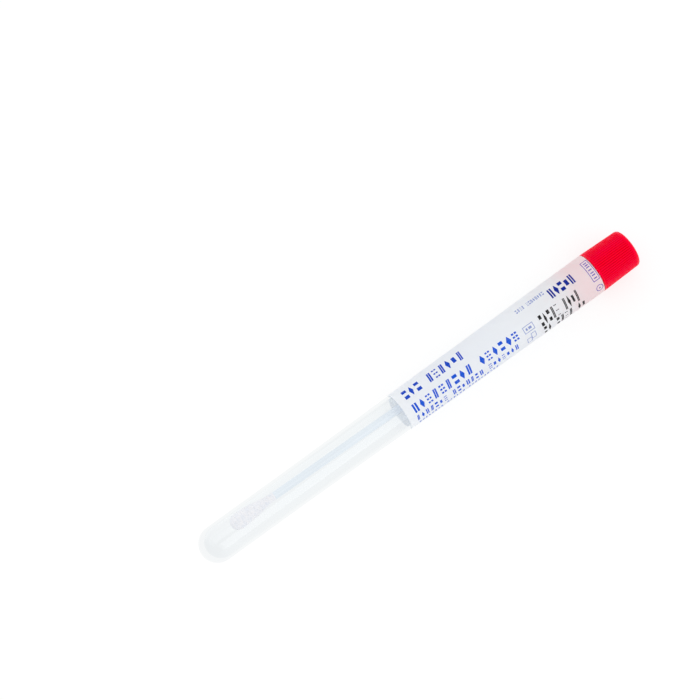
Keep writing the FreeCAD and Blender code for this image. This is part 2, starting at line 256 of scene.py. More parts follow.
def rounded(corners, steps=4):
    """A polyline of corners (x, r), of which those given as (x, r, radius) are rounded."""
    line = []
    for number, (x, r, *radius) in enumerate(corners):
        if not radius:
            line.append((x, r))
            continue
        radius = radius[0]
        here = Vector((x, r))
        back = (Vector(corners[number - 1][:2]) - here).normalized()
        ahead = (Vector(corners[number + 1][:2]) - here).normalized()
        half = back.angle(ahead) / 2
        middle = here + (back + ahead).normalized() * radius / math.sin(half)
        first = here + back * radius / math.tan(half)
        last = here + ahead * radius / math.tan(half)
        for step in range(steps + 1):
            share = step / steps
            spoke = first.lerp(last, share) - middle
            line.append(tuple(middle + spoke.normalized() * radius))
    return line


def spaced(line, most):
    """The same polyline with more points, so that no two are further apart than most."""
    points = [line[0]]
    for (x0, r0), (x1, r1) in zip(line, line[1:]):
        pieces = max(1, math.ceil(math.hypot(x1 - x0, r1 - r0) / most))
        for step in range(1, pieces + 1):
            share = step / pieces
            points.append((x0 + (x1 - x0) * share, r0 + (r1 - r0) * share))
    return points


# ---------------------------------------------------------------- meshes


def new_piece(name, vertices, faces, matrix, sharp):
    """An object from points in millimetres, with normals outwards and smooth up to sharp degrees."""
    mesh = bpy.data.meshes.new(name)
    mesh.from_pydata([tuple(v) for v in np.asarray(vertices) * MM], [], faces)
    work = bmesh.new()
    work.from_mesh(mesh)
    bmesh.ops.recalc_face_normals(work, faces=work.faces)
    work.to_mesh(mesh)
    work.free()
    mesh.transform(matrix)
    mesh.shade_smooth()
    mesh.set_sharp_from_angle(angle=math.radians(sharp))
    piece = bpy.data.objects.new(name, mesh)
    bpy.context.scene.collection.objects.link(piece)
    return piece


def around(count):
    """Angles of a full turn from the top towards -Y."""
    return np.linspace(0, 2 * math.pi, count, endpoint=False)


def ring_points(x, radii, angles):
    """Points of one ring: radii at angles measured from the top towards -Y."""
    return np.column_stack((np.full(len(angles), x), -radii * np.sin(angles), radii * np.cos(angles)))


def lathe(line, count, shape=None):
    """Turns a polyline of (x, r) about X. shape(index, x, r, angles) may give each ring its own radii.

    A point on the axis becomes one vertex. The line starts and ends on the axis, so the surface is closed.
    """
    angles = around(count)
    vertices, rings, total = [], [], 0
    for index, (x, r) in enumerate(line):
        if r < 1e-9:
            vertices.append(np.array([[x, 0.0, 0.0]]))
            rings.append([total])
            total += 1
            continue
        radii = np.full(count, r) if shape is None else shape(index, x, r, angles)
        vertices.append(ring_points(x, radii, angles))
        rings.append(list(range(total, total + count)))
        total += count
    faces = []
    for first, second in zip(rings, rings[1:]):
        faces += strip(first, second, count)
    return np.vstack(vertices), faces


def strip(first, second, count):
    """Faces between two rings, one of which may be a single point."""
    faces = []
    for n in range(count):
        m = (n + 1) % count
        if len(first) == 1:
            faces.append((first[0], second[m], second[n]))
        elif len(second) == 1:
            faces.append((first[n], first[m], second[0]))
        else:
            faces.append((first[n], first[m], second[m], second[n]))
    return faces


# ---------------------------------------------------------------- materials


def new_material(name):
    """An empty node material and its tree."""
    material = bpy.data.materials.new(name)
    material.use_nodes = True
    material.node_tree.nodes.clear()
    return material, material.node_tree


def add(tree, kind, **inputs):
    """Adds a node; inputs are its sockets' plain values, with _ for a space."""
    node = tree.nodes.new("ShaderNode" + kind)
    for name, value in inputs.items():
        node.inputs[name.replace("_", " ")].default_value = value
    return node


def finish_material(tree, surface):
    """Joins the last shader to the material's output."""
    output = add(tree, "OutputMaterial")
    tree.links.new(surface, output.inputs["Surface"])


def noise(tree, pattern, detail, rough=0.5):
    """Noise from 0 to 1 over object coordinates, scaled apart along the piece and across it."""
    place = add(tree, "TexCoord")
    mapping = add(tree, "Mapping", Scale=pattern)
    tree.links.new(place.outputs["Object"], mapping.inputs["Vector"])
    node = add(tree, "TexNoise", Scale=1.0, Detail=detail, Roughness=rough)
    tree.links.new(mapping.outputs["Vector"], node.inputs["Vector"])
    return node.outputs["Fac"]


def between(tree, source, low, high, start=0.3, end=0.7):
    """A number that runs from low to high as source goes from start to end."""
    node = add(tree, "MapRange")
    node.inputs["From Min"].default_value = start
    node.inputs["From Max"].default_value = end
    node.inputs["To Min"].default_value = low
    node.inputs["To Max"].default_value = high
    tree.links.new(source, node.inputs["Value"])
    return node.outputs["Result"]


def blend_colours(tree, source, first, second, start=0.3, end=0.7):
    """A colour that runs from first to second as source goes from start to end."""
    node = tree.nodes.new("ShaderNodeMix")
    node.data_type = "RGBA"
    tree.links.new(between(tree, source, 0.0, 1.0, start, end), node.inputs["Factor"])
    node.inputs["A"].default_value = (*first, 1)
    node.inputs["B"].default_value = (*second, 1)
    return node.outputs["Result"]


def bump(tree, height, distance, strength):
    """A normal from a height, distance in millimetres."""
    node = add(tree, "Bump", Strength=strength, Distance=distance * MM)
    tree.links.new(height, node.inputs["Height"])
    return node.outputs["Normal"]


def scaled(colour, factor):
    """A colour made darker or lighter."""
    return tuple(min(1.0, channel * factor) for channel in colour)


def combined(tree, operation, first, second, clamp=False):
    """One number worked out from two, the second of which may be plain."""
    node = add(tree, "Math")
    node.operation = operation
    node.use_clamp = clamp
    tree.links.new(first, node.inputs[0])
    if isinstance(second, float):
        node.inputs[1].default_value = second
    else:
        tree.links.new(second, node.inputs[1])
    return node.outputs[0]


def mixed(tree, share, first, second):
    """The first shader with a share of the second. The share is a plain number or a node's output."""
    mix = add(tree, "MixShader")
    if isinstance(share, float):
        mix.inputs["Fac"].default_value = share
    else:
        tree.links.new(share, mix.inputs["Fac"])
    tree.links.new(first, mix.inputs[1])
    tree.links.new(second, mix.inputs[2])
    return mix.outputs["Shader"]


def transparent(tree, colour=(1, 1, 1)):
    """Lets light straight through, tinted."""
    return add(tree, "BsdfTransparent", Color=(*colour, 1)).outputs["BSDF"]


def lets_light_through(tree, surface, tint, long_tint):
    """Clear plastic casts only a faint shadow: rays towards a lamp and scattered light pass it.

    So does light reflected inside its wall, which would otherwise run round in it until it is lost,
    but it takes long_tint, from its longer way. A refracted ray is both a glossy and a transmission ray.
    """
    ray = add(tree, "LightPath").outputs
    clear = transparent(tree, tint)
    reflected = mixed(tree, ray["Is Transmission Ray"], transparent(tree, long_tint), surface)
    seen = mixed(tree, ray["Is Glossy Ray"], surface, reflected)
    lit = mixed(tree, ray["Is Diffuse Ray"], seen, clear)
    return mixed(tree, ray["Is Shadow Ray"], lit, clear)


def tube_material(rest):
    """Clear moulded polypropylene: faint flow lines along it, and a deeper tint at its thick tip."""
    material, tree = new_material("tube_clear")
    flow = noise(tree, TUBE_FLOW, detail=4.0)
    plastic = add(tree, "BsdfPrincipled", IOR=1.45, Transmission_Weight=1.0)
    place = add(tree, "SeparateXYZ")
    tree.links.new(add(tree, "TexCoord").outputs["Object"], place.inputs["Vector"])
    tip = rest.translation.x
    tinted = between(tree, place.outputs["X"], 0.0, 1.0, tip, tip + TIP_TINT_RUN * MM)
    wavy = combined(tree, "ADD", tinted, between(tree, flow, -0.08, 0.08))
    colour = blend_colours(tree, wavy, TIP_CLEAR, CLEAR, start=0.0, end=1.0)
    tree.links.new(colour, plastic.inputs["Base Color"])
    tree.links.new(between(tree, flow, *TUBE_ROUGH), plastic.inputs["Roughness"])
    finish_material(tree, lets_light_through(tree, plastic.outputs["BSDF"], WALL_CLEAR, EDGE_CLEAR))
    return material


def film_material():
    """White translucent film: satin, faintly clouded, with the plug and swab just showing through."""
    material, tree = new_material("label_film")
    cloud = noise(tree, FILM_CLOUD, detail=4.0)
    grain = noise(tree, FILM_GRAIN, detail=2.0)
    film = add(tree, "BsdfPrincipled")
    colour = blend_colours(tree, cloud, scaled(FILM_WHITE, 0.99), FILM_WHITE)
    tree.links.new(colour, film.inputs["Base Color"])
    tree.links.new(between(tree, grain, *FILM_ROUGH), film.inputs["Roughness"])
    tree.links.new(bump(tree, cloud, distance=0.05, strength=0.5), film.inputs["Normal"])
    behind = add(tree, "BsdfTranslucent", Color=(*FILM_WHITE, 1))
    lit = mixed(tree, FILM_GLOW, film.outputs["BSDF"], behind.outputs["BSDF"])
    finish_material(tree, mixed(tree, FILM_CLEAR, lit, transparent(tree)))
    return material


def film_back_material():
    """The film's glue side: nearly clear, since the white is in its printed side."""
    material, tree = new_material("label_back")
    cloud = noise(tree, FILM_CLOUD, detail=4.0)
    glue = add(tree, "BsdfPrincipled", IOR=1.4, Roughness=0.4)
    colour = blend_colours(tree, cloud, scaled(FILM_WHITE, 0.97), FILM_WHITE)
    tree.links.new(colour, glue.inputs["Base Color"])
    finish_material(tree, mixed(tree, GLUE_CLEAR, glue.outputs["BSDF"], transparent(tree)))
    return material


def ink_material(name, colour, voids):
    """Printed ink: matte, a little uneven, thinner in spots by the share voids."""
    material, tree = new_material(name)
    spots = noise(tree, INK_SPOTS, detail=3.0)
    ink = add(tree, "BsdfPrincipled", Roughness=0.5, Specular_IOR_Level=0.1)
    thin = tuple(c + (f - c) * voids for c, f in zip(colour, FILM_WHITE))
    tree.links.new(blend_colours(tree, spots, colour, thin, start=0.45, end=0.75), ink.inputs["Base Color"])
    finish_material(tree, ink.outputs["BSDF"])
    return material


def cap_material():
    """Moulded polyethylene: saturated red, semi-gloss, with a faint skin, and painted shade that darkens
    the red in the grooves.
    """
    material, tree = new_material("cap_red")
    cloud = noise(tree, CAP_CLOUD, detail=3.0)
    skin = noise(tree, CAP_SKIN, detail=2.0)
    gloss = {"Specular_IOR_Level": 0.25, "Specular_Tint": (*GLOSS_TINT, 1)}
    sheen = {"Sheen_Weight": 0.3, "Sheen_Roughness": 0.22, "Sheen_Tint": (*SHEEN_TINT, 1)}
    plastic = add(tree, "BsdfPrincipled", IOR=1.5, **gloss, **sheen)
    depth = add(tree, "Attribute")
    depth.attribute_name = "groove"
    # painted shade: the red darkens with the grooves' depth
    shade = combined(tree, "ADD", between(tree, cloud, -0.1, 0.1), depth.outputs["Fac"])
    colour = blend_colours(tree, shade, CAP_RED, GROOVE_SHADE_RED, start=0.0, end=1.0)
    tree.links.new(colour, plastic.inputs["Base Color"])
    tree.links.new(between(tree, cloud, *CAP_ROUGH), plastic.inputs["Roughness"])
    tree.links.new(bump(tree, skin, distance=0.01, strength=0.3), plastic.inputs["Normal"])
    finish_material(tree, plastic.outputs["BSDF"])
    return material


def shaft_material():
    """Moulded polystyrene: white, a little cool, glossy."""
    material, tree = new_material("shaft_white")
    flow = noise(tree, SHAFT_FLOW, detail=3.0)
    plastic = add(tree, "BsdfPrincipled", IOR=1.59)
    colour = blend_colours(tree, flow, scaled(SHAFT_WHITE, 0.97), scaled(SHAFT_WHITE, 1.03))
    tree.links.new(colour, plastic.inputs["Base Color"])
    tree.links.new(between(tree, flow, *SHAFT_ROUGH), plastic.inputs["Roughness"])
    tree.links.new(bump(tree, flow, distance=0.02, strength=0.3), plastic.inputs["Normal"])
    finish_material(tree, plastic.outputs["BSDF"])
    return material


def fibre_material():
    """Wound viscose: soft, matte, with fine fibres round the bud."""
    material, tree = new_material("bud_fibre")
    wound = noise(tree, FIBRE_WINDINGS, detail=4.0, rough=0.6)
    tufts = noise(tree, FIBRE_TUFTS, detail=3.0)
    fibre = add(tree, "BsdfPrincipled", Roughness=0.85, Sheen_Weight=0.25, Sheen_Roughness=0.5)
    height = combined(tree, "ADD", wound, tufts)
    colour = blend_colours(tree, height, FIBRE_COOL, FIBRE_WHITE, start=0.8, end=1.15)
    tree.links.new(colour, fibre.inputs["Base Color"])
    tree.links.new(bump(tree, height, distance=0.12, strength=0.8), fibre.inputs["Normal"])
    finish_material(tree, fibre.outputs["BSDF"])
    return material


# ---------------------------------------------------------------- tube


def upper_outside(x):
    """Outside radius of the tube between its witness line and its mouth."""
    return drafted(STEPPED_RADIUS, x - STEP_END, TUBE_DRAFT)


def make_tube(rest):
    """Clear tube with its round tip, witness line and chamfered lip."""
    land = LAND_RADIUS - TRIM
    gate = math.degrees(math.asin(GATE_RADIUS / land))
    outer = arc((LAND_RADIUS, 0), land, 180 - gate, 90, TIP_STEPS)
    flat = outer[0][0]
    line = [
        (flat, 0.0),
        *outer,
        (LAND_END, land),
        (WITNESS_PLACE, WITNESS_RADIUS),
        (STEP_END, STEPPED_RADIUS),
        (TUBE_LENGTH - LIP_CHAMFER, upper_outside(TUBE_LENGTH - LIP_CHAMFER)),
        (TUBE_LENGTH, MOUTH_RADIUS - LIP_CHAMFER),
        (TUBE_LENGTH, BORE_SEAT),
        (PLUG_END - SEAT_MARGIN, BORE_SEAT),
        (LAND_END, BORE),
        *arc((TIP_WALL + BORE, 0), BORE, 90, 180, TIP_STEPS)[:-1],
        (TIP_WALL, 0.0),
    ]
    vertices, faces = lathe(line, TUBE_SIDES)
    tube = new_piece("tube_wall", vertices, faces, rest, sharp=40.0)
    tube.data.materials.append(tube_material(rest))
    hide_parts("tube")
    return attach(tube, "tube")


# ---------------------------------------------------------------- label


def film_height(angle):
    """How far the film lies off the tube, by degrees wound from its start."""
    start = 360.0 - OVERLAP_RAMP
    return FILM * eased((angle - start) / OVERLAP_RAMP)


def make_label(rest):
    """Film wound once round the tube and a little over its own start."""
    total = 360.0 + LABEL_OVERLAP
    turns = np.append(np.arange(0.0, total, FILM_TURN_STEP), total)
    places = np.linspace(LABEL_START, LABEL_END, FILM_PLACES)
    lift = np.array([film_height(turn) for turn in turns])
    # the film starts under its overlap, a little towards +Y of the lowest line, and is wound by -Y
    angles = np.radians(180.0 + LABEL_SEAM + LABEL_OVERLAP - turns)
    layers = []
    for height in (FILM_LIFT, FILM):
        grid = [ring_points(x, upper_outside(x) + lift + height, angles) for x in places]
        layers.append(np.array(grid))
    rows, columns = len(places), len(turns)
    vertices = np.vstack([layer.reshape(-1, 3) for layer in layers])
    faces = sheet_faces(rows, columns)
    label = new_piece("label_wrap", vertices, faces, rest, sharp=50.0)
    label.data.materials.append(film_material())
    label.data.materials.append(film_back_material())
    for face in label.data.polygons:
        if all(corner < rows * columns for corner in face.vertices):
            face.material_index = 1  # the inner face is the back
    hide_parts("label")
    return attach(label, "tube")


def sheet_faces(rows, columns):
    """Faces of a closed thin sheet: two grids of points and the band round their edges."""
    back = rows * columns

    def at(row, column, layer=0):
        """Number of a grid point's vertex."""
        return layer * back + row * columns + column

    faces = []
    for row in range(rows - 1):
        for column in range(columns - 1):
            corners = ((row, column), (row + 1, column), (row + 1, column + 1), (row, column + 1))
            faces.append(tuple(at(*corner) for corner in corners))
            faces.append(tuple(at(*corner, 1) for corner in reversed(corners)))
    edge = [(0, column) for column in range(columns)]
    edge += [(row, columns - 1) for row in range(1, rows)]
    edge += [(rows - 1, column) for column in range(columns - 2, -1, -1)]
    edge += [(row, 0) for row in range(rows - 2, 0, -1)]
    for first, second in zip(edge, edge[1:] + edge[:1]):
        faces.append((at(*first), at(*second), at(*second, 1), at(*first, 1)))
    return faces


# ---------------------------------------------------------------- print

PRINT_DEPTH = 0.01  # how far the ink sinks into the film and stands off it
ARC_STEP = 0.35  # longest straight stretch of ink round the tube


class Print:
    """Ink of one colour on the label, as thin plates that follow its curve.

    A plate is four corners (along, up): along from the label's lower edge, up from the row's base line.
    A row's base line is given in degrees from the top towards -Y.
    """

    def __init__(self):
        self.vertices = []
        self.faces = []

    def point(self, along, angle, height):
        """A point a height above the film."""
        x = LABEL_START + along
        radius = upper_outside(x) + FILM + height
        return (x, -radius * math.sin(angle), radius * math.cos(angle))

    def plate(self, base, corners):
        """A quadrilateral of ink, split round the tube so that it follows the curve."""
        radius = upper_outside(LABEL_START + corners[0][0]) + FILM
        tall = max(up for _, up in corners) - min(up for _, up in corners)
        count = max(1, math.ceil(tall / ARC_STEP))
        (a, b, c, d) = corners
        start = len(self.vertices)
        for height in (-PRINT_DEPTH, PRINT_DEPTH):
            for step in range(count + 1):
                share = step / count
                for low, high in ((a, d), (b, c)):
                    along = low[0] + (high[0] - low[0]) * share
                    up = low[1] + (high[1] - low[1]) * share
                    self.vertices.append(self.point(along, math.radians(base) - up / radius, height))
        back = 2 * (count + 1)
        for step in range(count):
            n = start + 2 * step
            self.faces.append((n + 1, n, n + 2, n + 3))
            self.faces.append((back + n, back + n + 1, back + n + 3, back + n + 2))
            self.faces.append((n, n + back, n + 2 + back, n + 2))
            self.faces.append((n + 1, n + 3, n + 3 + back, n + 1 + back))
        end = start + 2 * count
        self.faces.append((start, start + 1, start + 1 + back, start + back))
        self.faces.append((end + 1, end, end + back, end + 1 + back))

    def bar(self, base, x0, y0, x1, y1):
        """A rectangle of ink."""
        self.plate(base, [(x0, y0), (x1, y0), (x1, y1), (x0, y1)])

    def frame(self, base, x0, y0, x1, y1, line):
        """A rectangular outline."""
        self.bar(base, x0, y0, x1, y0 + line)
        self.bar(base, x0, y1 - line, x1, y1)
        self.bar(base, x0, y0 + line, x0 + line, y1 - line)
        self.bar(base, x1 - line, y0 + line, x1, y1 - line)

    def ring(self, base, x, y, radius, line, count=24):
        """A round outline."""
        for step in range(count):
            outer = [(radius, step), (radius, step + 1)]
            inner = [(radius - line, step + 1), (radius - line, step)]
            corners = []
            for r, turn in outer + inner:
                angle = 2 * math.pi * turn / count
                corners.append((x + r * math.cos(angle), y + r * math.sin(angle)))
            self.plate(base, corners)

    def piece(self, name, material, rest):
        """The ink as one object that rides on the tube."""
        ink = new_piece(name, self.vertices, self.faces, rest, sharp=60.0)
        ink.data.materials.append(material)
        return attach(ink, "tube")


def posts(ink, base, x, width, height):
    """Two upright bars."""
    post = width * 0.4
    ink.bar(base, x, 0, x + post, height)
    ink.bar(base, x + width - post, 0, x + width, height)


def halves(ink, base, x, width, height):
    """Two level bars."""
    ink.bar(base, x, 0, x + width, height * 0.34)
    ink.bar(base, x, height * 0.66, x + width, height)


def block(ink, base, x, width, height):
    """One smaller rectangle."""
    ink.bar(base, x + width * 0.1, height * 0.2, x + width * 0.9, height * 0.8)


def slashes(ink, base, x, width, height):
    """Two leaning bars."""
    post = width * 0.33
    lean = width * 0.25
    for start in (x, x + width - post - lean):
        end = start + post
        ink.plate(base, [(start, 0), (end, 0), (end + lean, height), (start + lean, height)])


def dots(ink, base, x, width, height):
    """Six small squares in two columns."""
    size = width * 0.42
    for across in (x, x + width - size):
        for level in (0, (height - size) / 2, height - size):
            ink.bar(base, across, level, across + size, level + size * 0.8)


def diamond(ink, base, x, width, height):
    """A lozenge, as a lower and an upper half."""
    middle = x + width / 2
    tip = width * 0.05
    waist = [(x + width, height / 2), (x, height / 2)]
    ink.plate(base, [(middle - tip, 0), (middle + tip, 0), *waist])
    ink.plate(base, [*reversed(waist), (middle + tip, height), (middle - tip, height)])


SHAPES = (posts, halves, block, slashes, dots, diamond)


def row(ink, base, start, end, height, count, gaps=(), fill=0.72):
    """A row of simple shapes, none twice running, with the places in gaps left bare.

    Fill is about how much of its place each shape takes. The row's draws depend on its count.
    """
    chance = random.Random(SEED + count)
    pitch = (end - start) / count
    last = None
    for number in range(count):
        if number in gaps:
            continue
        last = chance.choice([shape for shape in SHAPES if shape is not last])
        width = pitch * fill * chance.uniform(0.85, 1.05)
        last(ink, base, start + number * pitch, width, height)


def make_print(rest):
    """The label's printing: rows of plain shapes, outlined boxes and a ring, in blues and black."""
    deep = Print()
    row(deep, base=-3.0, start=2.8, end=25.9, height=3.3, count=10, gaps=(3,), fill=0.68)
    deep.piece("print_title", ink_material("ink_deep_blue", DEEP_BLUE, voids=0.05), rest)

    bright = Print()
    row(bright, base=43.7, start=2.9, end=43.5, height=3.0, count=16, gaps=(9,), fill=0.7)
    row(bright, base=72.0, start=2.6, end=42.1, height=2.1, count=23, gaps=(7, 15), fill=0.62)
    row(bright, base=90.5, start=3.0, end=33.7, height=1.1, count=26, gaps=(8, 15), fill=0.55)
    bright.piece("print_rows", ink_material("ink_bright_blue", BRIGHT_BLUE, voids=0.08), rest)

    pale = Print()
    pale.frame(base=44.4, x0=45.0, y0=0, x1=48.8, y1=2.4, line=0.2)
    pale.bar(base=44.4, x0=45.8, y0=0.8, x1=46.4, y1=1.6)
    pale.bar(base=44.4, x0=46.8, y0=0.8, x1=47.9, y1=1.6)
    pale.frame(base=79.2, x0=44.8, y0=0, x1=46.6, y1=2.0, line=0.2)
    pale.frame(base=79.2, x0=46.6, y0=0.9, x1=48.4, y1=3.2, line=0.2)
    row(pale, base=-17.5, start=46.6, end=57.6, height=1.4, count=13, gaps=(4,))
    pale.piece("print_small", ink_material("ink_pale_blue", PALE_BLUE, voids=0.15), rest)

    navy = Print()
    row(navy, base=7.0, start=58.4, end=68.2, height=3.4, count=5, fill=0.76)
    navy.piece("print_number", ink_material("ink_navy", NAVY, voids=0.03), rest)

    violet = Print()
    violet.frame(base=36.9, x0=72.1, y0=0, x1=74.6, y1=7.7, line=0.22)
    for level in (0.8, 1.9, 2.7, 3.8, 4.9, 5.7, 6.5):
        violet.bar(base=36.9, x0=72.75, y0=level, x1=73.95, y1=level + 0.36)
    violet.ring(base=62.0, x=73.2, y=0.0, radius=1.3, line=0.24)
    violet.bar(base=62.0, x0=72.95, y0=-0.25, x1=73.45, y1=0.25)
    violet.piece("print_edge", ink_material("ink_violet", VIOLET, voids=0.15), rest)

    black = Print()
    row(black, base=56.5, start=51.1, end=66.5, height=4.0, count=10, gaps=(5,), fill=0.62)
    row(black, base=92.0, start=51.3, end=67.7, height=3.6, count=10, gaps=(2, 7), fill=0.62)
    black.piece("print_stamp", ink_material("ink_black", INK_BLACK, voids=0.12), rest)


# ---------------------------------------------------------------- cap


def cap_line():
    """Half section of the cap, from the middle of its closed end round the outside to the socket."""
    ridge = BORE_SEAT - PLUG_CLEARANCE
    relief = ridge - PLUG_RELIEF
    upper_end = TUBE_LENGTH - RIDGE_GAP
    upper_start = upper_end - RIDGE_WIDTH
    lower_end = upper_start - RIDGE_GAP
    lower_start = lower_end - RIDGE_WIDTH
    cavity = relief - PLUG_WALL
    socket = SHAFT_RADIUS + SOCKET_WALL
    floor = HEAD_END - CAVITY_FLOOR
    socket_end = PLUG_END + SOCKET_SETBACK
    corners = [
        (HEAD_END - DIMPLE_DEPTH, 0.0),
        (HEAD_END - DIMPLE_DEPTH, DIMPLE_RADIUS * 0.5, DIMPLE_ROUND),
        (HEAD_END - TRIM, DIMPLE_RADIUS, SOFT_ROUND),
        (HEAD_END - TRIM, HEAD_END_RADIUS - TRIM, HEAD_ROUND),
        (TUBE_LENGTH, HEAD_RADIUS - TRIM, CRISP_ROUND),
        (TUBE_LENGTH, relief),
    ]
    for end, start in ((upper_end, upper_start), (lower_end, lower_start)):
        corners += [
            (end + PLUG_RELIEF, relief),
            (end, ridge, CRISP_ROUND),
            (start, ridge, CRISP_ROUND),
            (start - PLUG_RELIEF, relief),
        ]
    corners += [
        (PLUG_END + PLUG_LEAD, relief, SOFT_ROUND),
        (PLUG_END, cavity + PLUG_WALL / 2, EDGE_ROUND),
        (PLUG_END, cavity, EDGE_ROUND),
        (floor, cavity, CAVITY_ROUND),
        (floor, socket, SOCKET_ROUND),
        (socket_end, socket, EDGE_ROUND),
        (socket_end, SHAFT_RADIUS),
        (SEAT, SHAFT_RADIUS),
        (SEAT, 0.0),
    ]
    return rounded(corners)


def groove_share(x):
    """How deep the grip grooves are at a place along the head, from 0 to 1."""
    start = TUBE_LENGTH + RIM_BAND
    end = HEAD_END - HEAD_ROUND - END_BAND
    return eased(min(x - start, end - x) / GROOVE_FADE)


def cap_rings(line):
    """The cap's section with extra rings where the grooves start, run and end."""
    start = TUBE_LENGTH + RIM_BAND
    end = HEAD_END - HEAD_ROUND - END_BAND
    fades = np.linspace(0, GROOVE_FADE, GROOVE_FADE_RINGS)
    runs = np.linspace(start + GROOVE_RING_MARGIN, end - GROOVE_RING_MARGIN, GROOVE_RINGS)
    extra = sorted([*(start + fades), *(end - fades), *runs], reverse=True)
    rings = [line[0]]
    for (x0, r0), (x1, r1) in zip(line, line[1:]):
        on_head = x0 > end and x1 < start and min(r0, r1) > BORE_SEAT
        if on_head:
            rings += [(x, r0 + (r1 - r0) * (x0 - x) / (x0 - x1)) for x in extra]
        rings.append((x1, r1))
    return rings


def make_cap(rest):
    """Ribbed cap with its hollow plug, sealing ridges and swab socket."""
    line = cap_rings(cap_line())
    pitch = 2 * math.pi / RIB_COUNT

    depths = []  # share of the grooves' depth at each vertex between the two on the axis, which also sets the painted shade in the grooves

    def shape(index, x, r, angles):
        share = groove_share(x) if r > BORE_SEAT else 0.0
        off = np.abs((angles / pitch + 0.5) % 1.0 - 0.5) * pitch * r
        depth = share * (1 - np.clip(off / (GROOVE_WIDTH / 2), 0, 1))
        depths.extend(depth)
        return r - GROOVE_DEPTH * depth

    vertices, faces = lathe(line, RIB_COUNT * RIB_SIDES, shape)
    # the socket leans with the swab
    distance = np.hypot(vertices[:, 1], vertices[:, 2])
    in_socket = distance < SHAFT_RADIUS + NEAR
    in_socket &= vertices[:, 0] < SEAT + NEAR
    vertices[in_socket, 1] += (SWAB_PIVOT - vertices[in_socket, 0]) * math.tan(SWAB_LEAN)
    cap = new_piece("cap_ribbed", vertices, faces, rest, sharp=38.0)
    # the grooves' depth goes to the material, which darkens the red there as painted shade
    cap.data.attributes.new("groove", "FLOAT", "POINT").data.foreach_set("value", [0, *depths, 0])
    cap.data.materials.append(cap_material())
    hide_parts("cap")
    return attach(cap, "cap_and_swab")


# ---------------------------------------------------------------- swab


def make_shaft(leaning):
    """White moulded shaft with its break notch and two parting lines."""
    start = BUD_GAP + BUD_NOSE_FIBRE
    notch = BUD_GAP + NOTCH_PLACE
    corners = [
        (start, 0.0),
        (start, SHAFT_RADIUS - SHAFT_CHAMFER),
        (start + SHAFT_CHAMFER, SHAFT_RADIUS),
        (notch - NOTCH_WIDTH / 2, SHAFT_RADIUS, NOTCH_EDGE_ROUND),
        (notch, SHAFT_RADIUS - NOTCH_DEPTH, CRISP_ROUND),
        (notch + NOTCH_WIDTH / 2, SHAFT_RADIUS, NOTCH_EDGE_ROUND),
        (SEAT, SHAFT_RADIUS),
        (SEAT, 0.0),
    ]
    line = spaced(rounded(corners), SHAFT_RING_GAP)

    def shape(index, x, r, angles):
        radii = np.full(len(angles), r)
        if start + PARTING_MARGIN < x < PLUG_END:
            off = np.abs((np.degrees(angles) % 180.0) - 90.0) / PARTING_WIDTH
            radii += PARTING_LINE * np.exp(-off * off)
        return radii

    vertices, faces = lathe(line, SWAB_SIDES, shape)
    shaft = new_piece("shaft_moulded", vertices, faces, leaning, sharp=40.0)
    shaft.data.materials.append(shaft_material())
    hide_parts("swab_shaft")
    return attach(shaft, "cap_and_swab")


def bud_radius(x):
    """Radius of the wound bud at a place from its nose."""
    shoulder = BUD_RADIUS
    belly_end = shoulder + BUD_BELLY
    cuff = SHAFT_RADIUS + BUD_CUFF
    if x < shoulder:
        return math.sqrt(max(0.0, BUD_RADIUS**2 - (BUD_RADIUS - x) ** 2))
    if x < belly_end:
        return BUD_RADIUS
    if x < BUD_WAIST:
        share = (x - belly_end) / (BUD_WAIST - belly_end)
        return BUD_RADIUS + (BUD_WAIST_RADIUS - BUD_RADIUS) * share
    run = BUD_LENGTH - BUD_WAIST
    share = (x - BUD_WAIST) / run
    return cuff + (BUD_WAIST_RADIUS - cuff) * (1 - share) ** 2


def bud_surface(x, angle):
    """Radius of the bud's surface with its windings, which fade out at its nose and its tail.

    The windings wander as they go round, and slow lumps lie under them.
    """
    base = bud_radius(x)
    nose_fade, tail_fade = WINDING_FADES
    fade = min(1.0, x / nose_fade) * min(1.0, (BUD_LENGTH - x) / tail_fade)
    wind = math.sin(2 * math.pi * x / WINDING_PITCH + angle + 0.9 * math.sin(2 * angle + x))
    lump = math.sin(1.7 * x + 3 * angle + 0.6) * math.sin(0.9 * x - 2 * angle)
    return base - fade * (BUD_SKIN - WINDING_DEPTH * wind * 0.5 - WINDING_LUMP * lump)


def make_bud(leaning):
    """Wound fibre bud with soft windings, and loose fibres over it."""
    nose = np.linspace(0.0, BUD_FINE_RUN, BUD_FINE_RINGS)[:-1]
    places = np.concatenate((nose, np.linspace(BUD_FINE_RUN, BUD_LENGTH, BUD_RINGS)))
    line = [(BUD_GAP + x, bud_radius(x)) for x in places]
    tail = BUD_GAP + BUD_LENGTH
    sleeve = SHAFT_RADIUS + BUD_SLEEVE_GAP
    inner = [(tail, sleeve), (tail - BUD_SLEEVE, sleeve), (tail - BUD_SLEEVE, 0.0)]

    def shape(index, x, r, angles):
        if index >= len(places):
            return np.full(len(angles), r)
        return np.array([bud_surface(x - BUD_GAP, angle) for angle in angles])

    vertices, faces = lathe(line + inner, SWAB_SIDES, shape)
    bud = new_piece("bud_wound", vertices, faces, leaning, sharp=60.0)
    bud.data.materials.append(fibre_material())
    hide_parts("swab_bud")
    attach(bud, "cap_and_swab")
    make_fibres(leaning, bud.data.materials[0])
    return bud


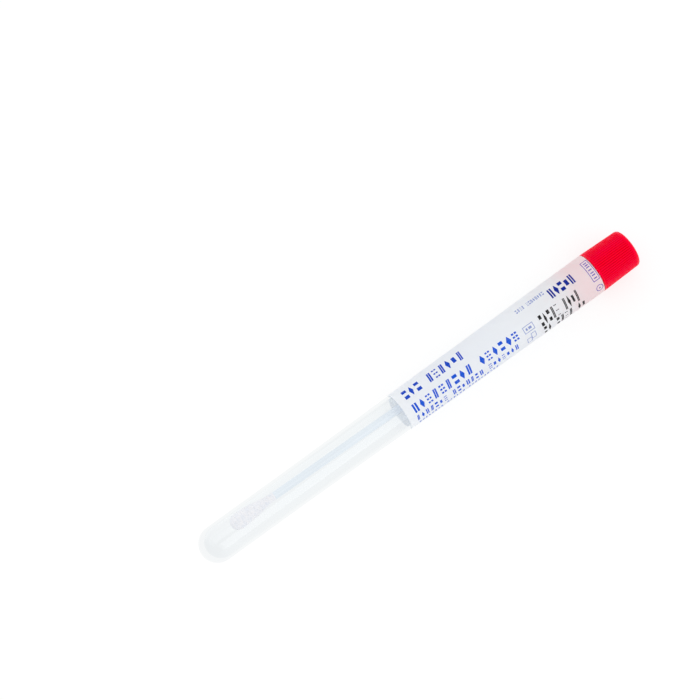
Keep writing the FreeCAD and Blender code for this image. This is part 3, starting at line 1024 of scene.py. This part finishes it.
def make_fibres(leaning, material):
    """Loose fibres that lie round the bud and lift off it a little."""
    chance = random.Random(SEED)
    first, last = FIBRE_REACH
    vertices, faces = [], []
    for _ in range(FIBRE_COUNT):
        x = chance.uniform(*FIBRE_STARTS)
        angle = chance.uniform(0, 2 * math.pi)
        turn = chance.uniform(*FIBRE_TURNS)
        drift = chance.gauss(0.0, FIBRE_DRIFT)
        lift = chance.uniform(0.0, FIBRE_LIFT)
        path = []
        for step in range(FIBRE_STEPS + 1):
            share = step / FIBRE_STEPS
            place = min(last, max(first, x + drift * share))
            a = angle + turn * share
            height = lift * math.sin(math.pi * share) - FIBRE_RADIUS * 0.5
            radius = min(bud_surface(place, a) + height, bud_radius(place) - FIBRE_RADIUS)
            path.append(Vector((BUD_GAP + place, -radius * math.sin(a), radius * math.cos(a))))
        add_thread(vertices, faces, path, FIBRE_RADIUS)
    fibres = new_piece("bud_fibres", vertices, faces, leaning, sharp=80.0)
    fibres.data.materials.append(material)
    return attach(fibres, "cap_and_swab")


def add_thread(vertices, faces, path, radius):
    """A closed three-sided thread along a path."""
    start = len(vertices)
    for number, point in enumerate(path):
        ahead = path[min(number + 1, len(path) - 1)] - path[max(number - 1, 0)]
        out = Vector((0, point.y, point.z)).normalized()
        side = ahead.cross(out).normalized()
        for turn in range(3):
            a = 2 * math.pi * turn / 3
            vertices.append(tuple(point + out * (radius * math.cos(a)) + side * (radius * math.sin(a))))
    for number in range(len(path) - 1):
        for turn in range(3):
            n = start + 3 * number + turn
            m = start + 3 * number + (turn + 1) % 3
            faces.append((n, m, m + 3, n + 3))
    last = start + 3 * (len(path) - 1)
    faces.append((start + 2, start + 1, start))
    faces.append((last, last + 1, last + 2))


# ---------------------------------------------------------------- surroundings


def shown_directly(tree):
    """1 for rays that show a surface itself: from the camera, in a reflection or through clear plastic."""
    path = add(tree, "LightPath")
    shown = path.outputs["Is Camera Ray"]
    for name in ("Is Glossy Ray", "Is Transmission Ray"):
        shown = combined(tree, "MAXIMUM", shown, path.outputs[name])
    scattered = combined(tree, "GREATER_THAN", path.outputs["Diffuse Depth"], 0.5)
    return combined(tree, "SUBTRACT", shown, scattered, clamp=True)


FLOOR_SIZE = 4.0  # metres
FLOOR_DROP = 0.00002  # below the object, so that its lowest line stays clear of it
FLOOR_WHITE = 0.96  # as it lights the object
FLOOR_SHOWN = 0.26  # as it shows the lamps' light and the object's shadow
FLOOR_LIFT = 0.76  # light of its own that it shows as well, so that it is white where nothing shades it
WORLD_LIGHT = 0.87
LAMPS = {  # name: watts, width in metres, place
    "key": (2.8, 1.1, (0.35, -0.85, 0.95)),
    "fill": (1.8, 1.3, (-0.4, 1.0, 0.6)),
}


def make_floor():
    """Plain white floor that keeps the object's shadow."""
    bpy.ops.mesh.primitive_plane_add(size=FLOOR_SIZE, location=(0, 0, -FLOOR_DROP))
    floor = bpy.context.object
    floor.name = "floor"
    material, tree = new_material("floor")
    shown = shown_directly(tree)
    matte = add(tree, "BsdfDiffuse")
    white = blend_colours(tree, shown, (FLOOR_WHITE,) * 3, (FLOOR_SHOWN,) * 3, start=0.0, end=1.0)
    tree.links.new(white, matte.inputs["Color"])
    own = add(tree, "Emission", Color=(1, 1, 1, 1))
    tree.links.new(combined(tree, "MULTIPLY", shown, FLOOR_LIFT), own.inputs["Strength"])
    both = add(tree, "AddShader")
    tree.links.new(matte.outputs["BSDF"], both.inputs[0])
    tree.links.new(own.outputs["Emission"], both.inputs[1])
    finish_material(tree, both.outputs["Shader"])
    floor.data.materials.append(material)


def make_world():
    """Even white surroundings: softer as a lamp than as a background."""
    world = bpy.data.worlds.new("surroundings")
    world.use_nodes = True
    tree = world.node_tree
    tree.nodes.clear()
    background = tree.nodes.new("ShaderNodeBackground")
    background.inputs["Color"].default_value = (1, 1, 1, 1)
    strength = between(tree, shown_directly(tree), WORLD_LIGHT, 1.0, 0.0, 1.0)
    tree.links.new(strength, background.inputs["Strength"])
    output = tree.nodes.new("ShaderNodeOutputWorld")
    tree.links.new(background.outputs["Background"], output.inputs["Surface"])
    bpy.context.scene.world = world


def make_lamps():
    """Large soft lamps: the brighter one stands on the side of the photograph's lower edge."""
    for name, (watts, width, place) in LAMPS.items():
        data = bpy.data.lights.new(name, "AREA")
        data.shape = "SQUARE"
        data.size = width
        data.energy = watts
        lamp = bpy.data.objects.new(name, data)
        lamp.location = place
        lamp.rotation_euler = Vector(place).to_track_quat("Z", "Y").to_euler()
        bpy.context.scene.collection.objects.link(lamp)


def allow_bounces():
    """Light that crosses the tube and its film passes more clear surfaces than Cycles' usual limit."""
    light = bpy.context.scene.cycles
    light.transparent_max_bounces = 64
    light.diffuse_bounces = 8
    light.max_bounces = 24
    light.glossy_bounces = 16
    # and no path ends early by chance, which would leave specks along the clear wall's edges
    light.min_light_bounces = 12
    light.min_transparent_bounces = 24


def make_camera():
    """Long lens that looks down on the tube from the photograph's side."""
    azimuth = math.radians(CAMERA_AZIMUTH)
    elevation = math.radians(CAMERA_ELEVATION)
    flat = math.cos(elevation)
    ahead = Vector((-math.sin(azimuth) * flat, math.cos(azimuth) * flat, -math.sin(elevation)))
    right = Vector((math.cos(azimuth), math.sin(azimuth), 0))
    up = right.cross(ahead)
    data = bpy.data.cameras.new("camera")
    data.sensor_width = CAMERA_SENSOR
    data.lens = CAMERA_LENS
    data.clip_start = 0.01
    camera = bpy.data.objects.new("camera", data)
    turn = Matrix((right, up, -ahead)).transposed().to_4x4()
    place = Vector(CAMERA_TARGET) - ahead * CAMERA_DISTANCE
    camera.matrix_world = Matrix.Translation(place) @ turn
    bpy.context.scene.collection.objects.link(camera)
    bpy.context.scene.camera = camera


# ---------------------------------------------------------------- scene

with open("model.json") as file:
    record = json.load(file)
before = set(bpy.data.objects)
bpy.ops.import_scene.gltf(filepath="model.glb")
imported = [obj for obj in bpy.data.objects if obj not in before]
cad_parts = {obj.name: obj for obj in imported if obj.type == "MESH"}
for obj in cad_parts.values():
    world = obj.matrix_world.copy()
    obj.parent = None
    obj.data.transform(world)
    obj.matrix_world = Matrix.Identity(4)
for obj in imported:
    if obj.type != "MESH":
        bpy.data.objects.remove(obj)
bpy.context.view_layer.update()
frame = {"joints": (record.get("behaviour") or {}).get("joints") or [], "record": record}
REST = axis_frame(frame)
LEANING = REST @ lean_matrix()

make_camera()
make_tube(REST)
make_label(REST)
make_print(REST)
make_cap(REST)
make_shaft(LEANING)
make_bud(LEANING)
make_floor()
make_world()
make_lamps()
allow_bounces()
bpy.context.scene.view_settings.view_transform = "Standard"
